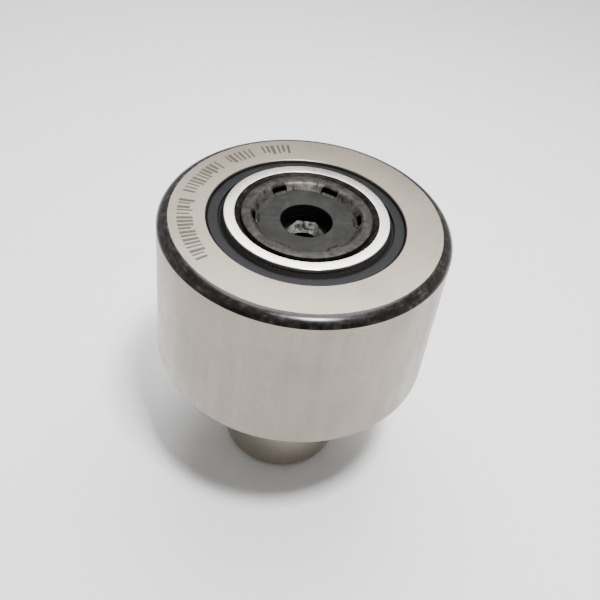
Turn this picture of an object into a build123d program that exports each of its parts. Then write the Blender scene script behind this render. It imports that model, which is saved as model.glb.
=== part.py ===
from build123d import *

import os
from math import sqrt

# Cam follower: a track roller on a straight stud, with two caged rows of cylindrical rollers inside.
# Millimetres. +Z runs along the stud towards the roller's front face. The origin is on the axis, in the
# mounting shoulder, which is the rear rib washer's outer face.

# ---- outer ring ----
TREAD_RADIUS = 22.5
RING_WIDTH = 27.0
RING_EDGE_RADIAL = 1.7
RING_EDGE_AXIAL = 1.35
RING_EDGE_RADIUS = 2.1
OUTER_RACEWAY = 15.0
RIB_WIDTH = 2.2
RIB_BORE = 14.45
SEAL_SEAT_RADIUS = 15.2
SEAL_SEAT_DEPTH = 1.4
SEAL_SEAT_CHAMFER = 0.12

# ---- stud ----
STUD_RADIUS = 10.0
SHANK_LENGTH = 22.4
SHANK_CHAMFER = 1.0
STUD_BELOW_WASHER = 0.1
STUD_RIM_ROUND = 0.15
RELIEF_RADIUS = 9.75
RELIEF_START = 0.3
RELIEF_WIDTH = 0.8
RECESS_MOUTH_RADIUS = 8.45
RECESS_DEPTH = 1.05
CENTRE_HOLE_RADIUS = 2.1
CENTRE_PILOT_RADIUS = 0.8
CENTRE_PILOT_DEPTH = 4.4

# ---- end disc, held in the stud's recess by six staked tongues ----
DISC_RADIUS = 7.55
DISC_THICKNESS = 2.15
DISC_HOLE_RADIUS = 3.95
DISC_HOLE_CHAMFER = 0.2
DISC_EDGE_ROUND = 0.15
STAKE_COUNT = 6
STAKE_START_ANGLE = 8.0
STAKE_ARC = 17.0
NOTCH_MID_RADIUS = 8.02
NOTCH_WIDTH = 0.5
NOTCH_DEPTH = 1.8
TONGUE_TIP_RADIUS = 6.95
TONGUE_THICKNESS = 0.25
TONGUE_CREST = 0.35

# ---- hexagon socket and grease passage, under the end disc ----
HEX_ACROSS_FLATS = 5.0
HEX_DEPTH = 2.2
HEX_CORNER_ANGLE = 30.0
PILOT_RADIUS = 2.45
PILOT_DEPTH = 4.0
GREASE_BORE_RADIUS = 1.25
SLEEVE_PORT_RADIUS = 1.0

# ---- inner sleeve and rib washers, pressed on the stud ----
WASHER_PROUD = 0.6
WASHER_RADIUS = 12.6
WASHER_THICKNESS = 3.0
WASHER_BORE_CHAMFER = 1.02
WASHER_EDGE_CHAMFER = 0.15
SLEEVE_RADIUS = 12.0
SLEEVE_END_CHAMFER = 0.2

# ---- rolling elements and cages ----
ROW_COUNT = 18
RACEWAY_CLEARANCE = 0.01
END_CLEARANCE = 0.05
ELEMENT_CHAMFER = 0.2
POCKET_CLEARANCE = 0.04
POCKET_END_CLEARANCE = 0.05
CAGE_INNER_RADIUS = 12.8
CAGE_OUTER_RADIUS = 14.2
CAGE_SEAL_END_WIDTH = 0.85
CAGE_RIB_END_WIDTH = 0.8

# ---- seals: a bent steel case with a rubber lip bonded under it ----
CASE_RECESS = 0.4
CASE_THICKNESS = 0.45
CASE_INNER_RADIUS = 13.4
CASE_BEND = 0.44
CASE_SKIRT_WALL = 0.4
LIP_BODY_DEPTH = 1.3
LIP_CLEARANCE = 0.02
LIP_TIP_DEPTH = 0.62
LIP_TIP_THICKNESS = 0.15
LIP_ROOT_RADIUS = 13.0

# ---- heights that follow from these ----
MID_PLANE = RING_WIDTH / 2 + WASHER_PROUD
RING_HALF = RING_WIDTH / 2
STACK_HALF = RING_HALF + WASHER_PROUD
SLEEVE_HALF = STACK_HALF - WASHER_THICKNESS
STUD_TOP = 2 * MID_PLANE - STUD_BELOW_WASHER
DISC_TOP = STUD_TOP - RECESS_DEPTH
DISC_BOTTOM = DISC_TOP - DISC_THICKNESS
HEX_FLOOR = DISC_BOTTOM - HEX_DEPTH
PILOT_FLOOR = HEX_FLOOR - PILOT_DEPTH
NOTCH_FLOOR = STUD_TOP - NOTCH_DEPTH
NOTCH_INNER_RADIUS = NOTCH_MID_RADIUS - NOTCH_WIDTH / 2

PITCH_RADIUS = (SLEEVE_RADIUS + OUTER_RACEWAY) / 2
ELEMENT_RADIUS = (OUTER_RACEWAY - SLEEVE_RADIUS) / 2 - RACEWAY_CLEARANCE
ELEMENT_NEAR = RIB_WIDTH / 2 + END_CLEARANCE
ELEMENT_FAR = SLEEVE_HALF - END_CLEARANCE
POCKET_NEAR = ELEMENT_NEAR - POCKET_END_CLEARANCE
POCKET_FAR = ELEMENT_FAR + POCKET_END_CLEARANCE

FRONT = 1
REAR = -1


def height(side, from_mid):
    """Height of a point that lies from_mid from the roller's mid-plane, towards the front or the rear."""
    return MID_PLANE + side * from_mid


def outline(points):
    """A closed face of (radius, height) points, in the half-plane through the axis."""
    with BuildSketch(Plane.XZ) as face:
        with BuildLine():
            Polyline(*points, close=True)
        make_face()
    return face.sketch


def sided_outline(side, points):
    """The same, for (radius, distance from the mid-plane) points on the front or the rear side."""
    return outline([(radius, height(side, from_mid)) for radius, from_mid in points])


def rims(piece):
    """The circular edges of a turned piece, in groups of one radius, smallest first."""
    return piece.edges().filter_by(GeomType.CIRCLE).group_by(SortBy.RADIUS)


def save(piece, name):
    """Labels a finished piece and writes its STEP file."""
    piece.part.label = name
    export_step(piece.part, f"parts/{name}.step")


def make_stud():
    """Straight ground stud: shank below the shoulder, ring seat above it, staked recess in the top."""
    relief_end = RELIEF_START + RELIEF_WIDTH
    relief_step = STUD_RADIUS - RELIEF_RADIUS
    turned = [
        (0, -SHANK_LENGTH),
        (STUD_RADIUS - SHANK_CHAMFER, -SHANK_LENGTH),
        (STUD_RADIUS, -SHANK_LENGTH + SHANK_CHAMFER),
        (STUD_RADIUS, RELIEF_START),
        (RELIEF_RADIUS, RELIEF_START + relief_step),
        (RELIEF_RADIUS, relief_end - relief_step),
        (STUD_RADIUS, relief_end),
        (STUD_RADIUS, STUD_TOP - STUD_RIM_ROUND),
        (STUD_RADIUS - STUD_RIM_ROUND, STUD_TOP),
        (RECESS_MOUTH_RADIUS, STUD_TOP),
        (DISC_RADIUS, DISC_TOP),
        (DISC_RADIUS, DISC_BOTTOM),
        (0, DISC_BOTTOM),
    ]
    cone_height = (CENTRE_HOLE_RADIUS - CENTRE_PILOT_RADIUS) * sqrt(3)
    centre_hole = [
        (0, -SHANK_LENGTH),
        (CENTRE_HOLE_RADIUS, -SHANK_LENGTH),
        (CENTRE_PILOT_RADIUS, -SHANK_LENGTH + cone_height),
        (CENTRE_PILOT_RADIUS, -SHANK_LENGTH + CENTRE_PILOT_DEPTH),
        (0, -SHANK_LENGTH + CENTRE_PILOT_DEPTH + CENTRE_PILOT_RADIUS),
    ]
    # A tongue is the thin wall left between the disc and a notch, bent over the disc's edge.
    tongue = [
        (DISC_RADIUS, NOTCH_FLOOR),
        (NOTCH_INNER_RADIUS, NOTCH_FLOOR),
        (NOTCH_INNER_RADIUS, DISC_TOP + TONGUE_THICKNESS),
        (DISC_RADIUS, DISC_TOP + TONGUE_CREST),
        (TONGUE_TIP_RADIUS, DISC_TOP + TONGUE_THICKNESS),
        (TONGUE_TIP_RADIUS, DISC_TOP),
        (DISC_RADIUS, DISC_TOP),
    ]
    stake_angles = [STAKE_START_ANGLE + n * 360 / STAKE_COUNT for n in range(STAKE_COUNT)]
    with BuildPart() as stud:
        revolve(outline(turned), axis=Axis.Z)
        revolve(outline(centre_hole), axis=Axis.Z, mode=Mode.SUBTRACT)
        with BuildSketch(Plane.XY.offset(NOTCH_FLOOR)):
            for angle in stake_angles:
                with BuildLine(mode=Mode.PRIVATE) as run:
                    CenterArc((0, 0), NOTCH_MID_RADIUS, angle - STAKE_ARC / 2, STAKE_ARC)
                SlotArc(run.edge(), NOTCH_WIDTH)
        extrude(amount=NOTCH_DEPTH, mode=Mode.SUBTRACT)
        for angle in stake_angles:
            add(
                revolve(outline(tongue), axis=Axis.Z, revolution_arc=STAKE_ARC, mode=Mode.PRIVATE),
                rotation=(0, 0, angle - STAKE_ARC / 2),
            )
        with BuildSketch(Plane.XY.offset(HEX_FLOOR)):
            RegularPolygon(HEX_ACROSS_FLATS / 2, 6, major_radius=False, rotation=HEX_CORNER_ANGLE)
        extrude(amount=HEX_DEPTH, mode=Mode.SUBTRACT)
        with BuildSketch(Plane.XY.offset(PILOT_FLOOR)):
            Circle(PILOT_RADIUS)
        extrude(amount=PILOT_DEPTH, mode=Mode.SUBTRACT)
        with BuildSketch(Plane.XY.offset(MID_PLANE)):
            Circle(GREASE_BORE_RADIUS)
        extrude(amount=PILOT_FLOOR - MID_PLANE, mode=Mode.SUBTRACT)
        with BuildSketch(Plane.YZ):
            with Locations((0, MID_PLANE)):
                Circle(GREASE_BORE_RADIUS)
        extrude(amount=STUD_RADIUS, mode=Mode.SUBTRACT)
    save(stud, "stud")


def make_end_disc():
    """Disc with a round hole, in the stud's recess, that leaves the hexagon socket open below it."""
    with BuildPart() as disc:
        with BuildSketch(Plane.XY.offset(DISC_BOTTOM)):
            Circle(DISC_RADIUS)
            Circle(DISC_HOLE_RADIUS, mode=Mode.SUBTRACT)
        extrude(amount=DISC_THICKNESS)
        mouth = disc.edges().group_by(Axis.Z)[-1].sort_by(SortBy.RADIUS)[0]
        chamfer(mouth, DISC_HOLE_CHAMFER)
        lower_edge = disc.edges().group_by(Axis.Z)[0].sort_by(SortBy.RADIUS)[-1]
        chamfer(lower_edge, DISC_EDGE_ROUND)
    save(disc, "end_disc")


def make_inner_sleeve():
    """Hardened sleeve that both rows roll on, with a grease port under the outer ring's middle rib."""
    with BuildPart() as sleeve:
        with BuildSketch(Plane.XY.offset(MID_PLANE)):
            Circle(SLEEVE_RADIUS)
            Circle(STUD_RADIUS, mode=Mode.SUBTRACT)
        extrude(amount=SLEEVE_HALF, both=True)
        chamfer(rims(sleeve)[-1], SLEEVE_END_CHAMFER)
        with BuildSketch(Plane.YZ):
            with Locations((0, MID_PLANE)):
                Circle(SLEEVE_PORT_RADIUS)
        extrude(amount=SLEEVE_RADIUS, mode=Mode.SUBTRACT)
    save(sleeve, "inner_sleeve")


def make_rib_washer(side, name):
    """Washer that stops the roller ends, carries the seal lip and stands proud of the outer ring."""
    with BuildPart() as washer:
        points = [
            (STUD_RADIUS, SLEEVE_HALF),
            (WASHER_RADIUS - WASHER_EDGE_CHAMFER, SLEEVE_HALF),
            (WASHER_RADIUS, SLEEVE_HALF + WASHER_EDGE_CHAMFER),
            (WASHER_RADIUS, STACK_HALF - WASHER_EDGE_CHAMFER),
            (WASHER_RADIUS - WASHER_EDGE_CHAMFER, STACK_HALF),
            (STUD_RADIUS + WASHER_BORE_CHAMFER, STACK_HALF),
            (STUD_RADIUS, STACK_HALF - WASHER_BORE_CHAMFER),
        ]
        revolve(sided_outline(side, points), axis=Axis.Z)
    save(washer, name)


def make_outer_ring():
    """Thick outer ring: flat ground tread and faces, two raceways either side of a middle rib."""
    seat_step = SEAL_SEAT_RADIUS + SEAL_SEAT_CHAMFER
    face_edge = TREAD_RADIUS - RING_EDGE_RADIAL
    tread_half = RING_HALF - RING_EDGE_AXIAL
    inside = [
        (RIB_BORE, RIB_WIDTH / 2),
        (OUTER_RACEWAY, RIB_WIDTH / 2),
        (OUTER_RACEWAY, RING_HALF - SEAL_SEAT_DEPTH),
        (SEAL_SEAT_RADIUS, RING_HALF - SEAL_SEAT_DEPTH),
        (SEAL_SEAT_RADIUS, RING_HALF - SEAL_SEAT_CHAMFER),
        (seat_step, RING_HALF),
        (face_edge, RING_HALF),
    ]
    front_inside = [(radius, height(FRONT, from_mid)) for radius, from_mid in inside]
    rear_inside = [(radius, height(REAR, from_mid)) for radius, from_mid in inside]
    front_tread = (TREAD_RADIUS, height(FRONT, tread_half))
    rear_tread = (TREAD_RADIUS, height(REAR, tread_half))
    with BuildPart() as ring:
        with BuildSketch(Plane.XZ) as section:
            with BuildLine():
                Polyline(*reversed(front_inside), *rear_inside)
                RadiusArc(rear_inside[-1], rear_tread, -RING_EDGE_RADIUS)
                Line(rear_tread, front_tread)
                RadiusArc(front_tread, front_inside[-1], -RING_EDGE_RADIUS)
            make_face()
        revolve(section.sketch, axis=Axis.Z)
    save(ring, "outer_ring")


def make_seal_case(side, name):
    """Bent sheet-steel ring, pressed in the outer ring's end, that shields the rubber lip."""
    top = RING_HALF - CASE_RECESS
    with BuildPart() as case:
        points = [
            (CASE_INNER_RADIUS, top),
            (SEAL_SEAT_RADIUS, top),
            (SEAL_SEAT_RADIUS, RING_HALF - SEAL_SEAT_DEPTH),
            (SEAL_SEAT_RADIUS - CASE_SKIRT_WALL, RING_HALF - SEAL_SEAT_DEPTH),
            (SEAL_SEAT_RADIUS - CASE_SKIRT_WALL, top - CASE_THICKNESS),
            (CASE_INNER_RADIUS, top - CASE_THICKNESS),
        ]
        revolve(sided_outline(side, points), axis=Axis.Z)
        outer_edges = rims(case)[-1].sort_by(Axis.Z)
        fillet(outer_edges[-1 if side == FRONT else 0], CASE_BEND)
    save(case, name)


def make_seal_lip(side, name):
    """Rubber ring bonded under the case, with a thin lip that runs on the rib washer."""
    underside = RING_HALF - CASE_RECESS - CASE_THICKNESS
    tip_radius = WASHER_RADIUS + LIP_CLEARANCE
    with BuildPart() as lip:
        points = [
            (SEAL_SEAT_RADIUS - CASE_SKIRT_WALL, underside),
            (CASE_INNER_RADIUS, underside),
            (LIP_ROOT_RADIUS, underside),
            (tip_radius + LIP_TIP_THICKNESS, RING_HALF - LIP_TIP_DEPTH),
            (tip_radius, RING_HALF - LIP_TIP_DEPTH),
            (tip_radius, RING_HALF - LIP_TIP_DEPTH - LIP_TIP_THICKNESS),
            (LIP_ROOT_RADIUS, RING_HALF - LIP_BODY_DEPTH),
            (SEAL_SEAT_RADIUS - CASE_SKIRT_WALL, RING_HALF - LIP_BODY_DEPTH),
        ]
        revolve(sided_outline(side, points), axis=Axis.Z)
    save(lip, name)


def make_cage(side, name):
    """Window cage: two end rings joined by a bar between each pair of rolling elements."""
    near = POCKET_NEAR - CAGE_RIB_END_WIDTH
    far = POCKET_FAR + CAGE_SEAL_END_WIDTH
    with BuildPart() as cage:
        with BuildSketch(Plane.XY.offset(height(side, near))):
            Circle(CAGE_OUTER_RADIUS)
            Circle(CAGE_INNER_RADIUS, mode=Mode.SUBTRACT)
        extrude(amount=side * (far - near))
        with BuildSketch(Plane.XY.offset(height(side, POCKET_NEAR))):
            with PolarLocations(PITCH_RADIUS, ROW_COUNT):
                Circle(ELEMENT_RADIUS + POCKET_CLEARANCE)
        extrude(amount=side * (POCKET_FAR - POCKET_NEAR), mode=Mode.SUBTRACT)
    save(cage, name)


def make_rolling_element(side, angle, name):
    """One cylindrical roller with chamfered ends, in its cage pocket."""
    with BuildPart() as element:
        with BuildSketch(Plane.XY.offset(height(side, ELEMENT_NEAR))):
            with PolarLocations(PITCH_RADIUS, 1, start_angle=angle):
                Circle(ELEMENT_RADIUS)
        extrude(amount=side * (ELEMENT_FAR - ELEMENT_NEAR))
        chamfer(element.edges().filter_by(GeomType.CIRCLE), ELEMENT_CHAMFER)
    save(element, name)


os.makedirs("parts", exist_ok=True)
make_stud()
make_end_disc()
make_inner_sleeve()
make_outer_ring()
for side, label in ((FRONT, "front"), (REAR, "rear")):
    make_rib_washer(side, f"rib_washer_{label}")
    make_seal_case(side, f"seal_case_{label}")
    make_seal_lip(side, f"seal_lip_{label}")
    make_cage(side, f"cage_{label}")
    for number in range(ROW_COUNT):
        make_rolling_element(side, number * 360 / ROW_COUNT, f"roller_{label}_{number + 1:02d}")
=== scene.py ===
"""Looks of the cam follower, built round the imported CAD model. Metres, +Z along the stud, roller on top."""

import math
import random

import bpy
from mathutils import Matrix, Vector, noise


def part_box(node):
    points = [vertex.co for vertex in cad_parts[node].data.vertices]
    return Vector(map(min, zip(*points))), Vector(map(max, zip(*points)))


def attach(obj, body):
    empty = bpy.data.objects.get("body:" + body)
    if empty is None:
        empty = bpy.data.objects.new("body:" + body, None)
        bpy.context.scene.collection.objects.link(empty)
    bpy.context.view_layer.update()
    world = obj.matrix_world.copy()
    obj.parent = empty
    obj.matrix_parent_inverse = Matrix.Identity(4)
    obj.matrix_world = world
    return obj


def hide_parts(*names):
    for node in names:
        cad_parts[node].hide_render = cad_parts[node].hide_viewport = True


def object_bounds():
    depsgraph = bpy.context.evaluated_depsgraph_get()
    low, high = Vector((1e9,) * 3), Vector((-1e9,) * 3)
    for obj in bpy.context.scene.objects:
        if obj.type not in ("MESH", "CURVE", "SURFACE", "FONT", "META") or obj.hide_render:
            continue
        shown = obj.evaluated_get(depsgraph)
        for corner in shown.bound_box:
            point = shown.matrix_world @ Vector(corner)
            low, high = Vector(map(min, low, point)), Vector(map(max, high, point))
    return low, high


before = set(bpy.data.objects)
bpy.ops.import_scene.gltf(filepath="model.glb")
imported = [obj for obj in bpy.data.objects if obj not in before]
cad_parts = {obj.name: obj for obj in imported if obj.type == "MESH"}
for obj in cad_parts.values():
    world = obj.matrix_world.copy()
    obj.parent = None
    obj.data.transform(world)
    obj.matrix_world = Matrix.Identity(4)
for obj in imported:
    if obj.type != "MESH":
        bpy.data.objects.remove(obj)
cad_low, cad_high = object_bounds()

MM = 0.001
SEGMENTS = 480
SMOOTH_ANGLE = math.radians(28)
random.seed(7)

ROOT_BODY = "stud_set"
RING_BODY = "outer_ring_set"


def radius_of(node):
    """Largest radius of a turned CAD node."""
    low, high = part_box(node)
    return max(high[0], -low[0], high[1], -low[1])


def heights_of(node):
    """Lowest and highest Z of a CAD node."""
    low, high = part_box(node)
    return low[2], high[2]


# ---- sizes read from the CAD model ----
TREAD_RADIUS = radius_of("outer_ring")
RING_REAR, RING_FRONT = heights_of("outer_ring")
RING_MIDDLE = (RING_REAR + RING_FRONT) / 2
RING_HALF = (RING_FRONT - RING_REAR) / 2
STUD_RADIUS = radius_of("stud")
STUD_BOTTOM, STUD_TOP = heights_of("stud")
DISC_RADIUS = radius_of("end_disc")
DISC_BOTTOM, DISC_TOP = heights_of("end_disc")
WASHER_RADIUS = radius_of("rib_washer_front")
WASHER_INSIDE, WASHER_OUTSIDE = (h - RING_MIDDLE for h in heights_of("rib_washer_front"))
SEAT_RADIUS = radius_of("seal_case_front")
CASE_INSIDE, CASE_OUTSIDE = (h - RING_MIDDLE for h in heights_of("seal_case_front"))
LIP_OUTER_RADIUS = radius_of("seal_lip_front")
LIP_INSIDE = heights_of("seal_lip_front")[0] - RING_MIDDLE

# ---- sizes that the CAD model's boxes don't hold ----
EDGE_RADIAL = 1.7 * MM
EDGE_AXIAL = 1.35 * MM
EDGE_RADIUS = 2.1 * MM
RACEWAY_RADIUS = 15.0 * MM
RIB_BORE = 14.45 * MM
RIB_HALF = 1.1 * MM
SEAL_SEAT_CHAMFER = 0.12 * MM
WASHER_CHAMFER = 1.02 * MM
SHANK_CHAMFER = 1.0 * MM
RELIEF_RADIUS = 9.75 * MM
RELIEF_START = 0.3 * MM
RELIEF_END = 1.1 * MM
CENTRE_HOLE_RADIUS = 2.1 * MM
CENTRE_PILOT_RADIUS = 0.8 * MM
CENTRE_PILOT_DEPTH = 4.4 * MM
RECESS_MOUTH_RADIUS = 8.45 * MM
RECESS_WALL_SLOPE = 1.05 / 0.9
DISC_HOLE_RADIUS = 3.95 * MM
HEX_ACROSS_FLATS = 5.0 * MM
HEX_DEPTH = 2.2 * MM
SOCKET_PILOT_RADIUS = 2.45 * MM
SOCKET_PILOT_DEPTH = 4.0 * MM
GREASE_BORE_RADIUS = 1.25 * MM
CASE_INNER_RADIUS = 13.4 * MM
CASE_THICKNESS = 0.45 * MM
CASE_BEND = 0.44 * MM
LIP_ROOT_RADIUS = 13.0 * MM
LIP_TIP_INSET = 0.02 * MM
LIP_TIP_DEPTH = 0.62 * MM
LIP_TIP_THICKNESS = 0.15 * MM

# ---- reflectances of the metals, and the sizes of their finishes ----
RING_COLOUR = (0.296, 0.262, 0.216)
TREAD_COLOUR = (0.290, 0.253, 0.219)
WASHER_COLOUR = (0.90, 0.87, 0.83)
STUD_COLOUR = (0.40, 0.355, 0.315)
# Painted shade: the near black put on the walls of the deep holes in the stud and the disc, where shade
# falls.
HOLE_SHADE_BLACK = (0.004, 0.004, 0.004)
SCRIBED_SLOPE = 0.09
RADIAL_GRAIN = 1.8
SKIN_RAGGED = 0.03 * MM
SCRATCH_LENGTH = 7 * MM
SCRATCH_WIDTH = 0.16 * MM
WORN_TOP_DEPTH = 1.6 * MM
NOTCH_OUTER_RADIUS = STUD_RADIUS - 1.3 * MM

# ---- the six staked tongues that hold the end disc ----
STAKE_COUNT = 6
STAKE_START = math.radians(8)
STAKE_HALF = math.radians(9.5)
STAKE_BLEND = math.radians(2.5)


# ---------------------------------------------------------------- camera

def make_camera():
    """Camera at the viewing angle: above the front face and rolled a little. Distances are in tread radii."""
    elevation = math.radians(43.05)
    roll = math.radians(7.92)
    distance, to_right, to_top = 5.6198, 0.0465, 0.5539
    lens, sensor = 50.34, 36.0
    forward = Vector((0, math.cos(elevation), -math.sin(elevation)))
    level_right = Vector((1, 0, 0))
    level_up = level_right.cross(forward)
    right = level_right * math.cos(roll) + level_up * math.sin(roll)
    up = right.cross(forward)
    target = Vector((0, 0, RING_FRONT))
    data = bpy.data.cameras.new("camera")
    data.lens = lens
    data.sensor_width = sensor
    data.clip_start = TREAD_RADIUS
    data.clip_end = TREAD_RADIUS * 400
    camera = bpy.data.objects.new("camera", data)
    camera.location = target - TREAD_RADIUS * (forward * distance + right * to_right + up * to_top)
    camera.rotation_mode = "QUATERNION"
    camera.rotation_quaternion = Matrix((right, up, -forward)).transposed().to_quaternion()
    bpy.context.scene.collection.objects.link(camera)
    bpy.context.scene.camera = camera


# ---------------------------------------------------------------- meshes

def rounded(corners, steps=6):
    """An outline of (radius, height) points from (radius, height, fillet) corners of a closed loop."""
    points = []
    count = len(corners)
    for n, (r, z, fillet) in enumerate(corners):
        corner = Vector((r, z))
        if fillet == 0:
            points.append(corner)
            continue
        before = (Vector(corners[n - 1][:2]) - corner).normalized()
        after = (Vector(corners[(n + 1) % count][:2]) - corner).normalized()
        half = before.angle(after) / 2
        middle = corner + (before + after).normalized() * (fillet / math.sin(half))
        start = corner + before * (fillet / math.tan(half)) - middle
        end = corner + after * (fillet / math.tan(half)) - middle
        for step in range(steps + 1):
            share = step / steps
            spoke = (start * (1 - share) + end * share).normalized() * fillet
            points.append(middle + spoke)
    return [(p[0], p[1]) for p in points]


def add_mesh(name, vertices, faces):
    """A smooth-shaded mesh object with its sharp edges kept."""
    mesh = bpy.data.meshes.new(name)
    mesh.from_pydata(vertices, [], faces)
    mesh.validate()
    mesh.shade_smooth()
    mesh.set_sharp_from_angle(angle=SMOOTH_ANGLE)
    piece = bpy.data.objects.new(name, mesh)
    bpy.context.scene.collection.objects.link(piece)
    return piece


def lathe(name, outline, segments=SEGMENTS):
    """Turns a closed outline about Z. outline(angle) gives its (radius, height) points, counter-clockwise
    in the (radius, height) plane; a point with no radius is one vertex on the axis."""
    profile = outline if callable(outline) else lambda angle: outline
    vertices, index = [], []
    for n in range(segments):
        angle = 2 * math.pi * n / segments
        column = []
        for k, (r, z) in enumerate(profile(angle)):
            if r == 0 and n:
                column.append(index[0][k])
                continue
            column.append(len(vertices))
            vertices.append((r * math.cos(angle), r * math.sin(angle), z))
        index.append(column)
    faces = []
    rows = len(index[0])
    for n in range(segments):
        here, there = index[n], index[(n + 1) % segments]
        for k in range(rows):
            j = (k + 1) % rows
            loop = [here[k], there[k], there[j], here[j]]
            face = [v for i, v in enumerate(loop) if v != loop[i - 1]]
            if len(face) > 2:
                faces.append(face)
    return add_mesh(name, vertices, faces)


def from_middle(points):
    """Front-side points given by their distance from the ring's middle plane."""
    return [(point[0], RING_MIDDLE + point[1], *point[2:]) for point in points]


def flipped(points):
    """The same outline on the rear side, in the order that keeps its faces outward."""
    return [(point[0], 2 * RING_MIDDLE - point[1], *point[2:]) for point in reversed(points)]


# ---------------------------------------------------------------- shader helpers

def new_material(name):
    """A new material, its node tree and its shader."""
    material = bpy.data.materials.new(name)
    material.use_nodes = True
    return material, material.node_tree, material.node_tree.nodes["Principled BSDF"]


def put(tree, socket, value):
    """Sets a socket to a value, or links it to another node's socket."""
    if isinstance(value, bpy.types.NodeSocket):
        tree.links.new(value, socket)
    else:
        socket.default_value = value


def maths(tree, operation, *values):
    """The output of a Math node whose inputs are numbers or sockets."""
    node = tree.nodes.new("ShaderNodeMath")
    node.operation = operation
    for socket, value in zip(node.inputs, values):
        put(tree, socket, value)
    return node.outputs[0]


def mapped(tree, value, from_low, from_high, to_low=0.0, to_high=1.0):
    """A value moved from one range to another, and held inside it."""
    node = tree.nodes.new("ShaderNodeMapRange")
    for socket, item in zip(node.inputs, (value, from_low, from_high, to_low, to_high)):
        put(tree, socket, item)
    return node.outputs[0]


def mixed(tree, share, first, second):
    """A colour between two others."""
    node = tree.nodes.new("ShaderNodeMix")
    node.data_type = "RGBA"
    put(tree, node.inputs["Factor"], share)
    colours = [socket for socket in node.inputs if socket.type == "RGBA"]
    for socket, colour in zip(colours, (first, second)):
        put(tree, socket, colour if isinstance(colour, bpy.types.NodeSocket) else (*colour, 1))
    return next(socket for socket in node.outputs if socket.type == "RGBA")


def mapped_colour(tree, share, first, second):
    """A mottle between two colours that follows a noise."""
    return mixed(tree, mapped(tree, share, 0.35, 0.65), first, second)


def cloud(tree, vector, scale, detail=4.0, rough=0.55):
    """Noise from 0 to 1; the scale is in lumps for each unit of the vector."""
    node = tree.nodes.new("ShaderNodeTexNoise")
    for label, value in (("Scale", scale), ("Detail", detail), ("Roughness", rough)):
        node.inputs[label].default_value = value
    tree.links.new(vector, node.inputs["Vector"])
    return node.outputs["Fac"]


def bump(tree, height, distance, strength, normal=None):
    """A normal tilted by a height, on top of another normal if one is given."""
    node = tree.nodes.new("ShaderNodeBump")
    node.inputs["Distance"].default_value = distance
    node.inputs["Strength"].default_value = strength
    tree.links.new(height, node.inputs["Height"])
    if normal:
        tree.links.new(normal, node.inputs["Normal"])
    return node.outputs["Normal"]


def within(tree, value, low=None, high=None, soft=0.02 * MM):
    """1 where the value lies between two limits, 0 outside them, with a soft edge; None is no limit."""
    share = 1.0
    if low is not None:
        share = mapped(tree, value, low - soft, low + soft)
    if high is not None:
        below = mapped(tree, value, high - soft, high + soft, 1.0, 0.0)
        share = below if low is None else maths(tree, "MULTIPLY", share, below)
    return share


def both(tree, first, second):
    """1 where both shares are 1."""
    return maths(tree, "MULTIPLY", first, second)


def lessened(tree, share, amount):
    """1, lowered by an amount where the share is 1."""
    return maths(tree, "SUBTRACT", 1.0, maths(tree, "MULTIPLY", share, amount))


def repaint(tree, shader, label, share, new):
    """Changes what drives a shader socket to new, where share is 1."""
    socket = shader.inputs[label]
    old = socket.links[0].from_socket
    if socket.type == "RGBA":
        tree.links.new(mixed(tree, share, old, new), socket)
    else:
        kept = maths(tree, "MULTIPLY", old, maths(tree, "SUBTRACT", 1.0, share))
        tree.links.new(maths(tree, "ADD", kept, maths(tree, "MULTIPLY", share, new)), socket)


def place(tree):
    """The piece's own coordinates: the vector, its radius from the axis and its height."""
    vector = tree.nodes.new("ShaderNodeTexCoord").outputs["Object"]
    split = tree.nodes.new("ShaderNodeSeparateXYZ")
    tree.links.new(vector, split.inputs[0])
    x, y, z = split.outputs
    square = maths(tree, "ADD", maths(tree, "MULTIPLY", x, x), maths(tree, "MULTIPLY", y, y))
    return vector, maths(tree, "SQRT", square), z


def grain_vector(tree, vector, radius, height, across, along=3.0):
    """Coordinates in which noise becomes fine rings round the axis. Across is rings per metre of height; over
    the radius they are closer by RADIAL_GRAIN, so that they still show on an edge at 45 degrees."""
    flat = tree.nodes.new("ShaderNodeSeparateXYZ")
    tree.links.new(vector, flat.inputs[0])
    safe = maths(tree, "MAXIMUM", radius, 0.5 * MM)
    join = tree.nodes.new("ShaderNodeCombineXYZ")
    for n in (0, 1):
        unit = maths(tree, "DIVIDE", flat.outputs[n], safe)
        tree.links.new(maths(tree, "MULTIPLY", unit, along), join.inputs[n])
    over_radius = maths(tree, "MULTIPLY", radius, RADIAL_GRAIN * across)
    over_height = maths(tree, "MULTIPLY", height, across)
    tree.links.new(maths(tree, "ADD", over_radius, over_height), join.inputs[2])
    return join.outputs[0]


# ---------------------------------------------------------------- materials

def ground_steel(name, colour, rough, grain=0.05, across=5000.0, blotch=0.04):
    """Ground steel: fine rings from the wheel, faint handling blotches and uneven gloss."""
    material, tree, shader = new_material(name)
    vector, radius, height = place(tree)
    lines = cloud(tree, grain_vector(tree, vector, radius, height, across), scale=1.0, detail=3.0)
    wide = cloud(tree, vector, scale=90.0, detail=3.0)
    speckle = cloud(tree, vector, scale=2600.0, detail=2.0)
    darker = tuple(channel * (1 - 2 * grain) for channel in colour)
    dirty = tuple(channel * (1 - 4 * blotch) for channel in colour)
    base = mixed(tree, mapped(tree, lines, 0.3, 0.7), darker, colour)
    base = mixed(tree, mapped(tree, wide, 0.50, 0.72, 0.0, 0.8), base, dirty)
    tree.links.new(base, shader.inputs["Base Color"])
    shader.inputs["Metallic"].default_value = 1.0
    handled = mapped(tree, wide, 0.3, 0.7, -0.04, 0.05)
    spotted = mapped(tree, speckle, 0.3, 0.7, -0.03, 0.03)
    uneven = maths(tree, "ADD", handled, spotted)
    tree.links.new(maths(tree, "ADD", uneven, rough), shader.inputs["Roughness"])
    normal = bump(tree, lines, 0.002 * MM, 0.4)
    tree.links.new(bump(tree, speckle, 0.002 * MM, 0.4, normal), shader.inputs["Normal"])
    return material, tree, shader, (vector, radius, height)


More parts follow.
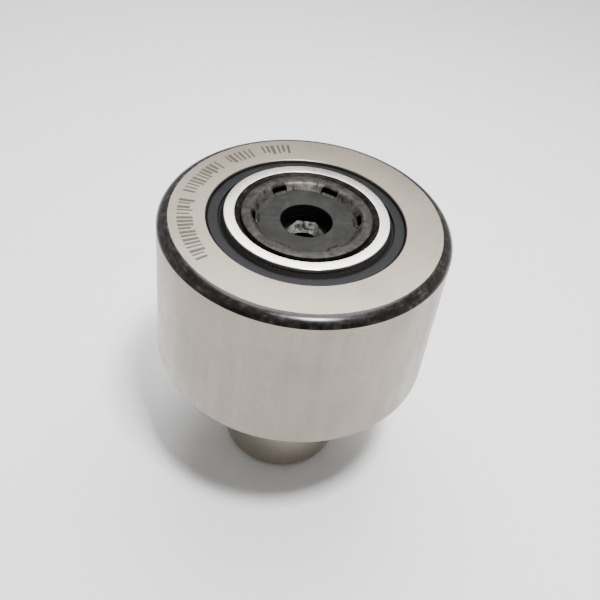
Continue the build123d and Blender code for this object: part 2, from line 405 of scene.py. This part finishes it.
def scratch_up(tree, shader, vector, turns, change):
    """Sparse fine scratches in a few directions: noise drawn out along each changes the colour's level."""
    for turn in turns:
        node = tree.nodes.new("ShaderNodeMapping")
        node.vector_type = "TEXTURE"
        node.inputs["Rotation"].default_value = (turn, 0.0, turn)
        node.inputs["Scale"].default_value = (SCRATCH_LENGTH, SCRATCH_WIDTH, SCRATCH_LENGTH)
        tree.links.new(vector, node.inputs["Vector"])
        lines = mapped(tree, cloud(tree, node.outputs[0], scale=1.0, detail=1.0), 0.66, 0.76, 0.0, 0.7)
        base = shader.inputs["Base Color"].links[0].from_socket
        scaled = tree.nodes.new("ShaderNodeVectorMath")
        scaled.operation = "SCALE"
        tree.links.new(base, scaled.inputs[0])
        scaled.inputs["Scale"].default_value = change
        repaint(tree, shader, "Base Color", lines, scaled.outputs[0])


def black_skin(tree, shader, share, where, gloss=0.5, rough=0.21):
    """Black scale of hardening, left where the grinding wheel doesn't reach: where share is 1."""
    vector, radius, height = where
    flecks = cloud(tree, vector, scale=1100.0, detail=4.0, rough=0.5)
    rings = grain_vector(tree, vector, radius, height, across=3500.0, along=9.0)
    turned = cloud(tree, rings, scale=1.0, detail=3.0)
    tone = both(tree, flecks, turned)
    black = mixed(tree, mapped(tree, tone, 0.18, 0.42), (0.0036, 0.0032, 0.0028), (0.021, 0.0185, 0.016))
    rubbed = both(tree, mapped(tree, turned, 0.56, 0.68), mapped(tree, flecks, 0.40, 0.62))
    black = mixed(tree, maths(tree, "MULTIPLY", rubbed, 0.3), black, (0.10, 0.086, 0.072))
    repaint(tree, shader, "Base Color", share, black)
    repaint(tree, shader, "Roughness", share, mapped(tree, tone, 0.15, 0.4, rough, rough + 0.08))
    shader.inputs["Specular IOR Level"].default_value = gloss
    tree.links.new(lessened(tree, share, 0.9), shader.inputs["Metallic"])


def tread_steel():
    """The ring's tread, ground round the axis, so that its reflections are drawn out along the axis."""
    material, tree, shader, where = ground_steel("tread_steel", TREAD_COLOUR, rough=0.30, grain=0.02)
    vector, radius, height = where
    bands = grain_vector(tree, vector, radius, height, across=38.0, along=8.0)
    streaks = cloud(tree, bands, scale=1.0, detail=6.0, rough=0.7)
    worn = tuple(channel * 0.72 for channel in TREAD_COLOUR)
    repaint(tree, shader, "Base Color", mapped(tree, streaks, 0.40, 0.70, 0.0, 0.42), worn)
    even = shader.inputs["Roughness"].links[0].from_socket
    uneven = maths(tree, "ADD", even, mapped(tree, streaks, 0.3, 0.7, -0.06, 0.06))
    tree.links.new(uneven, shader.inputs["Roughness"])
    scratch_up(tree, shader, vector, (0.3, 1.9), 1.12)
    shader.inputs["Anisotropic"].default_value = 0.5
    return material


def ring_steel():
    """Outer ring: ground faces, with black skin left on the two rounded edges."""
    material, tree, shader, where = ground_steel("ring_steel", RING_COLOUR, rough=0.36, grain=0.02)
    vector, radius, height = where
    ragged = mapped(tree, cloud(tree, vector, scale=700.0), 0.3, 0.7, -SKIN_RAGGED, SKIN_RAGGED)
    from_middle_plane = maths(tree, "ABSOLUTE", maths(tree, "SUBTRACT", height, RING_MIDDLE))
    outside = within(tree, maths(tree, "ADD", radius, ragged), TREAD_RADIUS - EDGE_RADIAL)
    near_face = within(tree, maths(tree, "ADD", from_middle_plane, ragged), RING_HALF - EDGE_AXIAL)
    scratch_up(tree, shader, vector, (0.5, 1.2, 2.4), 0.84)
    black_skin(tree, shader, both(tree, outside, near_face), where)
    return material


def washer_steel():
    """Rib washers: the brightest ground faces, with black skin left in the bore's chamfer."""
    material, tree, shader, where = ground_steel(
        "washer_steel", WASHER_COLOUR, rough=0.24, grain=0.03, across=3400.0, blotch=0.045)
    scratch_up(tree, shader, where[0], (0.9, 2.2), 0.72)
    in_chamfer = within(tree, where[1], None, STUD_RADIUS + WASHER_CHAMFER - 0.03 * MM)
    black_skin(tree, shader, in_chamfer, where, gloss=0.12, rough=0.5)
    return material


def stud_steel():
    """Stud: browner ground shank, rough worn top end, mottled hexagon. The recess wall is lighter in patches,
    partly its machined tone and partly painted highlight; the notch pockets and the drilled hole below the
    hexagon are painted black as shade.
    """
    material, tree, shader, where = ground_steel(
        "stud_steel", STUD_COLOUR, rough=0.36, grain=0.06, across=4000.0)
    vector, radius, height = where
    worn = cloud(tree, vector, scale=900.0, detail=6.0, rough=0.7)
    pits = cloud(tree, vector, scale=4200.0, detail=3.0)
    top = within(tree, height, DISC_TOP - WORN_TOP_DEPTH, soft=0.3 * MM)
    top = both(tree, top, within(tree, radius, DISC_HOLE_RADIUS))
    skin = mapped_colour(tree, worn, (0.020, 0.0185, 0.0172), (0.066, 0.061, 0.056))
    inside_mouth = maths(tree, "MAXIMUM", 0.0, maths(tree, "SUBTRACT", RECESS_MOUTH_RADIUS, radius))
    wall_depth = maths(tree, "MULTIPLY", inside_mouth, RECESS_WALL_SLOPE)
    under_wall = maths(tree, "SUBTRACT", maths(tree, "SUBTRACT", STUD_TOP, height), wall_depth)
    # The recess wall's lighter patches are partly the machined metal's own tone and partly painted highlight.
    wall_tone_and_highlight = both(tree, within(tree, under_wall, -0.07 * MM, 0.07 * MM), mapped(tree, worn, 0.35, 0.6))
    wall_tone_and_highlight = both(tree, wall_tone_and_highlight, within(tree, radius, None, RECESS_MOUTH_RADIUS, soft=0.05 * MM))
    patches = cloud(tree, vector, scale=240.0, detail=2.0)
    wall_tone_and_highlight = both(tree, wall_tone_and_highlight, mapped(tree, patches, 0.38, 0.55, 0.25, 1.0))
    skin = mixed(tree, wall_tone_and_highlight, skin, (0.125, 0.113, 0.104))
    above_wall = within(tree, under_wall, None, -0.12 * MM)
    tongue = both(tree, above_wall, within(tree, radius, None, DISC_RADIUS + 0.3 * MM))
    skin = mixed(tree, tongue, skin, (0.030, 0.028, 0.026))
    # Painted shade: the punched notches' pockets below the wall are painted near black, where shade falls in
    # them.
    painted_pocket_shade = both(tree, within(tree, radius, DISC_RADIUS), within(tree, radius, None, NOTCH_OUTER_RADIUS))
    painted_pocket_shade = both(tree, painted_pocket_shade, within(tree, under_wall, 0.30 * MM, soft=0.12 * MM))
    skin = mixed(tree, painted_pocket_shade, skin, (0.003, 0.003, 0.003))
    repaint(tree, shader, "Base Color", top, skin)
    repaint(tree, shader, "Roughness", top, mapped(tree, worn, 0.3, 0.7, 0.42, 0.58))
    # Painted shade: the drilled hole below the disc and the ledge round the hexagon are painted black, where
    # shade falls in them.
    in_hole = within(tree, radius, None, DISC_HOLE_RADIUS)
    socket = both(tree, in_hole, within(tree, height, RING_MIDDLE - 2 * MM, DISC_BOTTOM + 0.1 * MM))
    repaint(tree, shader, "Base Color", socket, HOLE_SHADE_BLACK)
    hexagon_corner = HEX_ACROSS_FLATS / 2 / math.cos(math.pi / 6)
    hexagon_span = within(tree, height, DISC_BOTTOM - HEX_DEPTH, DISC_BOTTOM - 0.05 * MM)
    in_hexagon = both(tree, within(tree, radius, None, hexagon_corner), hexagon_span)
    broached = cloud(tree, vector, scale=1500.0, detail=3.0)
    broached = mapped_colour(tree, broached, (0.05, 0.048, 0.045), (0.75, 0.73, 0.69))
    repaint(tree, shader, "Base Color", in_hexagon, broached)
    repaint(tree, shader, "Roughness", in_hexagon, mapped(tree, worn, 0.3, 0.7, 0.5, 0.65))
    tree.links.new(lessened(tree, in_hexagon, 0.75), shader.inputs["Metallic"])
    depth = both(tree, maths(tree, "ADD", worn, maths(tree, "MULTIPLY", pits, 0.3)), top)
    smooth_normal = shader.inputs["Normal"].links[0].from_socket
    tree.links.new(bump(tree, depth, 0.05 * MM, 0.6, smooth_normal), shader.inputs["Normal"])
    return material


def disc_steel():
    """End disc: blackened, grey-green and matt, with a fine scribed line across its middle, and its hole's
    wall painted black as shade.
    """
    material, tree, shader = new_material("disc_steel")
    vector, radius, _ = place(tree)
    mottle = cloud(tree, vector, scale=420.0, detail=6.0, rough=0.6)
    fine = cloud(tree, vector, scale=3500.0, detail=3.0)
    base = mapped_colour(tree, mottle, (0.007, 0.007, 0.0062), (0.020, 0.020, 0.0178))
    split = tree.nodes.new("ShaderNodeSeparateXYZ")
    tree.links.new(vector, split.inputs[0])
    tilt = maths(tree, "MULTIPLY", split.outputs[0], SCRIBED_SLOPE)
    offset = maths(tree, "ABSOLUTE", maths(tree, "SUBTRACT", split.outputs[1], tilt))
    scribed = mapped(tree, offset, 0.03 * MM, 0.09 * MM, 0.22, 0.0)
    scuffs = cloud(tree, vector, scale=700.0, detail=5.0, rough=0.75)
    scuffed = mapped(tree, scuffs, 0.56, 0.70, 0.0, 0.5)
    base = mixed(tree, scuffed, base, (0.045, 0.045, 0.041))
    base = mixed(tree, scribed, base, (0.09, 0.09, 0.085))
    # Painted shade: the hole's wall and rounded edge are painted black, where shade falls in the hole.
    hole = within(tree, radius, None, DISC_HOLE_RADIUS + 0.05 * MM)
    tree.links.new(mixed(tree, hole, base, HOLE_SHADE_BLACK), shader.inputs["Base Color"])
    shader.inputs["Metallic"].default_value = 0.5
    shader.inputs["Specular IOR Level"].default_value = 0.3
    tree.links.new(mapped(tree, mottle, 0.3, 0.7, 0.46, 0.60), shader.inputs["Roughness"])
    tree.links.new(bump(tree, fine, 0.02 * MM, 0.5), shader.inputs["Normal"])
    return material


def phosphated_case():
    """Seal case: smooth phosphated sheet, dark blue-grey with a satin sheen."""
    material, tree, shader = new_material("case_steel")
    vector = place(tree)[0]
    mottle = cloud(tree, vector, scale=260.0)
    fine = cloud(tree, vector, scale=3000.0, detail=2.0)
    base = mapped_colour(tree, mottle, (0.004, 0.0044, 0.0054), (0.0075, 0.0081, 0.0098))
    tree.links.new(base, shader.inputs["Base Color"])
    shader.inputs["Metallic"].default_value = 0.3
    shader.inputs["Specular IOR Level"].default_value = 0.2
    tree.links.new(mapped(tree, mottle, 0.3, 0.7, 0.34, 0.44), shader.inputs["Roughness"])
    tree.links.new(bump(tree, fine, 0.006 * MM, 0.4), shader.inputs["Normal"])
    return material


def black_rubber():
    """Nitrile rubber of the seal lips."""
    material, tree, shader = new_material("lip_rubber")
    vector = place(tree)[0]
    fine = cloud(tree, vector, scale=2400.0)
    base = mixed(tree, fine, (0.002, 0.002, 0.002), (0.008, 0.008, 0.007))
    tree.links.new(base, shader.inputs["Base Color"])
    shader.inputs["Specular IOR Level"].default_value = 0.12
    tree.links.new(mapped(tree, fine, 0.3, 0.7, 0.55, 0.75), shader.inputs["Roughness"])
    tree.links.new(bump(tree, fine, 0.01 * MM, 0.4), shader.inputs["Normal"])
    return material


def cage_plastic():
    """Glass-filled polyamide of the cages."""
    material, tree, shader = new_material("cage_polyamide")
    vector = place(tree)[0]
    fibres = cloud(tree, vector, scale=1800.0, detail=5.0, rough=0.7)
    base = mixed(tree, fibres, (0.012, 0.012, 0.013), (0.04, 0.04, 0.042))
    tree.links.new(base, shader.inputs["Base Color"])
    tree.links.new(mapped(tree, fibres, 0.3, 0.7, 0.42, 0.6), shader.inputs["Roughness"])
    tree.links.new(bump(tree, fibres, 0.02 * MM, 0.5), shader.inputs["Normal"])
    return material


def etched_dark():
    """Burnt surface of laser-etched marks."""
    material, tree, shader = new_material("etched_mark")
    vector = place(tree)[0]
    burn = cloud(tree, vector, scale=2600.0)
    base = mapped_colour(tree, burn, (0.075, 0.066, 0.056), (0.110, 0.097, 0.083))
    tree.links.new(base, shader.inputs["Base Color"])
    shader.inputs["Metallic"].default_value = 1.0
    tree.links.new(mapped(tree, burn, 0.3, 0.7, 0.42, 0.50), shader.inputs["Roughness"])
    tree.links.new(bump(tree, burn, 0.01 * MM, 0.5), shader.inputs["Normal"])
    return material


# ---------------------------------------------------------------- pieces

def finish_piece(piece, node, body, material):
    """Gives a new piece its material and body, and lets it stand for its CAD node."""
    piece.data.materials.append(material)
    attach(piece, body)
    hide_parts(node)


def edge_arc(steps=10):
    """Points of the ring's rounded edge, from tread to face, as (radius, height above the middle)."""
    start = Vector((TREAD_RADIUS, RING_HALF - EDGE_AXIAL))
    end = Vector((TREAD_RADIUS - EDGE_RADIAL, RING_HALF))
    chord = end - start
    inward = Vector((-chord.y, chord.x)).normalized()
    reach = math.sqrt(EDGE_RADIUS ** 2 - (chord.length / 2) ** 2)
    middle = (start + end) / 2 + inward * reach
    first = math.atan2(*(start - middle).yx)
    last = math.atan2(*(end - middle).yx)
    turns = [first + (last - first) * n / steps for n in range(steps + 1)]
    return [(middle.x + EDGE_RADIUS * math.cos(a), middle.y + EDGE_RADIUS * math.sin(a)) for a in turns]


def make_outer_ring(material, tread_material):
    """Outer ring, with the rounded edges, the seal seats and the two raceways."""
    arc = edge_arc()
    upper = [(*arc[0], 0.10 * MM)]
    upper += [(r, h, 0) for r, h in arc[1:-1]]
    upper += [
        (*arc[-1], 0.04 * MM),
        (SEAT_RADIUS + SEAL_SEAT_CHAMFER, RING_HALF, 0.03 * MM),
        (SEAT_RADIUS, RING_HALF - SEAL_SEAT_CHAMFER, 0.03 * MM),
        (SEAT_RADIUS, CASE_INSIDE, 0),
        (RACEWAY_RADIUS, CASE_INSIDE, 0),
        (RACEWAY_RADIUS, RIB_HALF, 0),
        (RIB_BORE, RIB_HALF, 0.1 * MM),
    ]
    lower = [(r, -h, fillet) for r, h, fillet in reversed(upper)]
    ring = lathe("roller_ring", rounded(from_middle(upper + lower)))
    finish_piece(ring, "outer_ring", RING_BODY, material)
    ring.data.materials.append(tread_material)
    for face in ring.data.polygons:
        if face.center.xy.length > TREAD_RADIUS - 0.01 * MM:
            face.material_index = 1


BAR_FACES = ((3, 2, 1, 0), (4, 5, 6, 7), (0, 1, 5, 4), (1, 2, 6, 5), (2, 3, 7, 6), (3, 0, 4, 7))


def make_marks(material):
    """Arc of plain etched bars on the front face, in four groups, in place of any lettering."""
    inner, outer = 17.1 * MM, 19.5 * MM
    start, stop = math.radians(104), math.radians(224)
    gap = math.radians(4.5)
    lift, sink = 0.008 * MM, 0.02 * MM
    groups = (6, 6, 11, 17)
    step = (stop - start - gap * (len(groups) - 1)) / sum(groups)
    vertices, faces = [], []
    angle = start
    for count in groups:
        for _ in range(count):
            width = step * random.choice((0.38, 0.52, 0.66))
            shorter = random.choice((0, 0, 0.5)) * MM
            base = len(vertices)
            for z in (RING_FRONT - sink, RING_FRONT + lift):
                for r, turn in ((inner + shorter, 0), (outer, 0), (outer, width), (inner + shorter, width)):
                    vertices.append((r * math.cos(angle + turn), r * math.sin(angle + turn), z))
            faces += [[base + v for v in loop] for loop in BAR_FACES]
            angle += step
        angle += gap
    marks = add_mesh("etched_bars", vertices, faces)
    marks.data.materials.append(material)
    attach(marks, RING_BODY)


def make_washers(material):
    """The two rib washers: bright faces, a 45 degree bore chamfer and lightly broken edges."""
    corners = from_middle([
        (WASHER_RADIUS, WASHER_INSIDE, 0.15 * MM),
        (WASHER_RADIUS, WASHER_OUTSIDE, 0.16 * MM),
        (STUD_RADIUS + WASHER_CHAMFER, WASHER_OUTSIDE, 0.06 * MM),
        (STUD_RADIUS, WASHER_OUTSIDE - WASHER_CHAMFER, 0.03 * MM),
        (STUD_RADIUS, WASHER_INSIDE, 0),
    ])
    for side, points in (("front", corners), ("rear", flipped(corners))):
        washer = lathe(f"bright_washer_{side}", rounded(points))
        finish_piece(washer, f"rib_washer_{side}", ROOT_BODY, material)


def make_seals(case_material, lip_material):
    """The bent cases, and the rubber lips under them that close the gap to the washers."""
    case = from_middle([
        (SEAT_RADIUS, CASE_INSIDE, 0),
        (SEAT_RADIUS, CASE_OUTSIDE, CASE_BEND),
        (CASE_INNER_RADIUS, CASE_OUTSIDE, 0.12 * MM),
        (CASE_INNER_RADIUS, CASE_OUTSIDE - CASE_THICKNESS, 0.1 * MM),
        (LIP_OUTER_RADIUS, CASE_OUTSIDE - CASE_THICKNESS, 0),
        (LIP_OUTER_RADIUS, CASE_INSIDE, 0),
    ])
    tip = WASHER_RADIUS + LIP_TIP_INSET
    tip_height = RING_HALF - LIP_TIP_DEPTH
    lip = from_middle([
        (LIP_OUTER_RADIUS, LIP_INSIDE, 0),
        (LIP_OUTER_RADIUS, CASE_OUTSIDE - CASE_THICKNESS, 0),
        (LIP_ROOT_RADIUS, CASE_OUTSIDE - CASE_THICKNESS, 0.05 * MM),
        (tip + LIP_TIP_THICKNESS, tip_height, 0.03 * MM),
        (tip, tip_height, 0.03 * MM),
        (tip, tip_height - LIP_TIP_THICKNESS, 0.03 * MM),
        (LIP_ROOT_RADIUS, LIP_INSIDE, 0.1 * MM),
    ])
    for side in ("front", "rear"):
        case_points, lip_points = (case, lip) if side == "front" else (flipped(case), flipped(lip))
        shield = lathe(f"seal_shield_{side}", rounded(case_points))
        finish_piece(shield, f"seal_case_{side}", RING_BODY, case_material)
        rubber = lathe(f"seal_rubber_{side}", rounded(lip_points))
        finish_piece(rubber, f"seal_lip_{side}", RING_BODY, lip_material)


def make_disc(material):
    """End disc with a round-edged hole that leaves the hexagon socket open."""
    corners = [
        (DISC_RADIUS, DISC_BOTTOM, 0.1 * MM),
        (DISC_RADIUS, DISC_TOP, 0),
        (DISC_HOLE_RADIUS, DISC_TOP, 0.16 * MM),
        (DISC_HOLE_RADIUS, DISC_BOTTOM, 0.05 * MM),
    ]
    disc = lathe("recess_disc", rounded(corners))
    finish_piece(disc, "end_disc", ROOT_BODY, material)


def hexagon_radius(angle):
    """Distance from the axis to the socket's wall, which has a corner along X and at each sixth of a turn."""
    sixth = math.pi / 3
    turn = angle % sixth - sixth / 2
    return HEX_ACROSS_FLATS / 2 / math.cos(turn)


def staked(angle):
    """How far the recess wall is staked at an angle: 0 where plain, 1 in a notch. Each punch mark differs."""
    pitch = 2 * math.pi / STAKE_COUNT
    turn = (angle - STAKE_START + pitch / 2) % (2 * math.pi)
    number = int(turn // pitch)
    off = abs(turn - (number + 0.5) * pitch)
    reach = STAKE_HALF * (0.92, 1.06, 1.0, 0.9, 1.02, 0.96)[number]
    share = min(1.0, max(0.0, (reach - off) / STAKE_BLEND))
    return share * share * (3 - 2 * share)


# The recess wall from the rim inwards, as (radius, height from the stud's top) in millimetres: as turned, and
# through a punched notch and the tongue that the punch raises.
RIM_START = 9.0
PLAIN_WALL = (
    (RIM_START, 0.0), (8.6, 0.0), (RECESS_MOUTH_RADIUS / MM, -0.05), (8.2, -0.30), (8.0, -0.53),
    (7.85, -0.70), (7.75, -0.82), (7.66, -0.92), (7.6, -0.99), (7.57, -1.02), (7.55, -1.05),
)
PUNCHED_WALL = (
    (RIM_START, 0.0), (8.55, 0.0), (8.36, -0.15), (8.27, -0.30), (8.26, -1.10), (8.18, -1.70),
    (8.0, -1.80), (7.80, -1.68), (7.74, -0.86), (7.50, -0.78), (7.05, -1.0),
)


def stud_outline(angle):
    """The stud's outline at one angle, from the lower centre hole up the outside and down the socket."""
    share = staked(angle)
    spot = Vector((math.cos(angle), math.sin(angle), 0)) * 9
    wear = 0.05 * MM * noise.noise(spot) + 0.03 * MM * noise.noise(spot * 4)
    cone_height = (CENTRE_HOLE_RADIUS - CENTRE_PILOT_RADIUS) * math.sqrt(3)
    relief_step = STUD_RADIUS - RELIEF_RADIUS
    shank = [
        (0, STUD_BOTTOM + CENTRE_PILOT_DEPTH + CENTRE_PILOT_RADIUS),
        (CENTRE_PILOT_RADIUS, STUD_BOTTOM + CENTRE_PILOT_DEPTH),
        (CENTRE_PILOT_RADIUS, STUD_BOTTOM + cone_height),
        (CENTRE_HOLE_RADIUS, STUD_BOTTOM),
        (STUD_RADIUS - SHANK_CHAMFER, STUD_BOTTOM),
        (STUD_RADIUS, STUD_BOTTOM + SHANK_CHAMFER),
        (STUD_RADIUS, RELIEF_START),
        (RELIEF_RADIUS, RELIEF_START + relief_step),
        (RELIEF_RADIUS, RELIEF_END - relief_step),
        (STUD_RADIUS, RELIEF_END),
        (STUD_RADIUS, STUD_TOP - 0.20 * MM),
        (STUD_RADIUS - 0.06 * MM, STUD_TOP - 0.06 * MM),
        (STUD_RADIUS - 0.22 * MM, STUD_TOP),
    ]
    recess = []
    for (r0, d0), (r1, d1) in zip(PLAIN_WALL, PUNCHED_WALL):
        r = (r0 + (r1 - r0) * share) * MM + wear * min(1.0, 3 * (RIM_START - r0))
        recess.append((r, STUD_TOP + (d0 + (d1 - d0) * share) * MM))
    hexagon = hexagon_radius(angle)
    lead = 0.05 * MM
    socket = [
        (DISC_RADIUS, DISC_TOP - 0.02 * MM),
        (DISC_RADIUS, DISC_BOTTOM),
        (hexagon + lead, DISC_BOTTOM),
        (hexagon, DISC_BOTTOM - lead),
        (hexagon, DISC_BOTTOM - HEX_DEPTH),
        (SOCKET_PILOT_RADIUS, DISC_BOTTOM - HEX_DEPTH),
        (SOCKET_PILOT_RADIUS, DISC_BOTTOM - HEX_DEPTH - SOCKET_PILOT_DEPTH),
        (GREASE_BORE_RADIUS, DISC_BOTTOM - HEX_DEPTH - SOCKET_PILOT_DEPTH),
        (GREASE_BORE_RADIUS, RING_MIDDLE - GREASE_BORE_RADIUS),
        (0, RING_MIDDLE - GREASE_BORE_RADIUS),
    ]
    return shank + recess + socket


def make_stud(material):
    """Stud, with the shank, the staked recess and the hexagon socket in one closed outline."""
    stud = lathe("ground_stud", stud_outline, segments=720)
    finish_piece(stud, "stud", ROOT_BODY, material)


def give_material(node, material):
    """Puts a finished material on a CAD node that keeps its own shape."""
    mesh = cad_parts[node].data
    mesh.materials.clear()
    mesh.materials.append(material)


# ---------------------------------------------------------------- stage and light

def make_stage():
    """Pale floor under the shank's end, reaching well past the frame."""
    reach = TREAD_RADIUS * 120
    corners = [(-reach, -reach), (reach, -reach), (reach, reach), (-reach, reach)]
    floor = add_mesh("floor", [(x, y, cad_low[2]) for x, y in corners], [(0, 1, 2, 3)])
    material, _, shader = new_material("pale_floor")
    shader.inputs["Base Color"].default_value = (0.93, 0.93, 0.93, 1)
    shader.inputs["Roughness"].default_value = 0.9
    shader.inputs["Specular IOR Level"].default_value = 0.1
    floor.data.materials.append(material)


def make_light(name, azimuth, elevation, distance, size, radiance):
    """A square softbox facing the roller. Azimuth 0 is behind it and 90 on its left. Lengths are in radii."""
    turn, rise = math.radians(azimuth), math.radians(elevation)
    direction = Vector((-math.sin(turn) * math.cos(rise), math.cos(turn) * math.cos(rise), math.sin(rise)))
    data = bpy.data.lights.new(name, "AREA")
    data.size = size * TREAD_RADIUS
    data.energy = math.pi * data.size ** 2 * radiance
    light = bpy.data.objects.new(name, data)
    light.location = Vector((0, 0, RING_MIDDLE)) + direction * distance * TREAD_RADIUS
    light.rotation_mode = "QUATERNION"
    light.rotation_quaternion = (-direction).to_track_quat("-Z", "Y")
    bpy.context.scene.collection.objects.link(light)


def make_world():
    """Studio surround: palest low behind and beside, dimmer overhead, darkest low in front, by the camera."""
    world = bpy.data.worlds.new("studio")
    world.use_nodes = True
    tree = world.node_tree
    background = tree.nodes["Background"]
    vector = tree.nodes.new("ShaderNodeTexCoord").outputs["Generated"]
    split = tree.nodes.new("ShaderNodeSeparateXYZ")
    tree.links.new(vector, split.inputs[0])
    rise = mapped(tree, split.outputs[2], 0.3, 0.9)
    front = mapped(tree, split.outputs[1], -0.2, -0.8)
    low = mixed(tree, front, (0.62, 0.61, 0.60), (0.12, 0.12, 0.12))
    tree.links.new(mixed(tree, rise, low, (0.3, 0.3, 0.3)), background.inputs["Color"])
    bpy.context.scene.world = world


make_camera()
make_world()
make_stage()
make_light("back_softbox", azimuth=0, elevation=66, distance=8.5, size=7.4, radiance=6.5)
make_light("top_softbox", azimuth=212, elevation=73, distance=18, size=2.8, radiance=230)

make_outer_ring(ring_steel(), tread_steel())
make_marks(etched_dark())
make_washers(washer_steel())
make_seals(phosphated_case(), black_rubber())
make_disc(disc_steel())
make_stud(stud_steel())

raceway = ground_steel("raceway_steel", (0.66, 0.65, 0.63), rough=0.22, across=7000.0)[0]
polished = ground_steel(
    "roller_steel", (0.78, 0.78, 0.77), rough=0.12, grain=0.03, across=7000.0, blotch=0.01)[0]
plastic = cage_plastic()
give_material("inner_sleeve", raceway)
for side in ("front", "rear"):
    give_material(f"cage_{side}", plastic)
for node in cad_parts:
    if node.startswith("roller_"):
        give_material(node, polished)
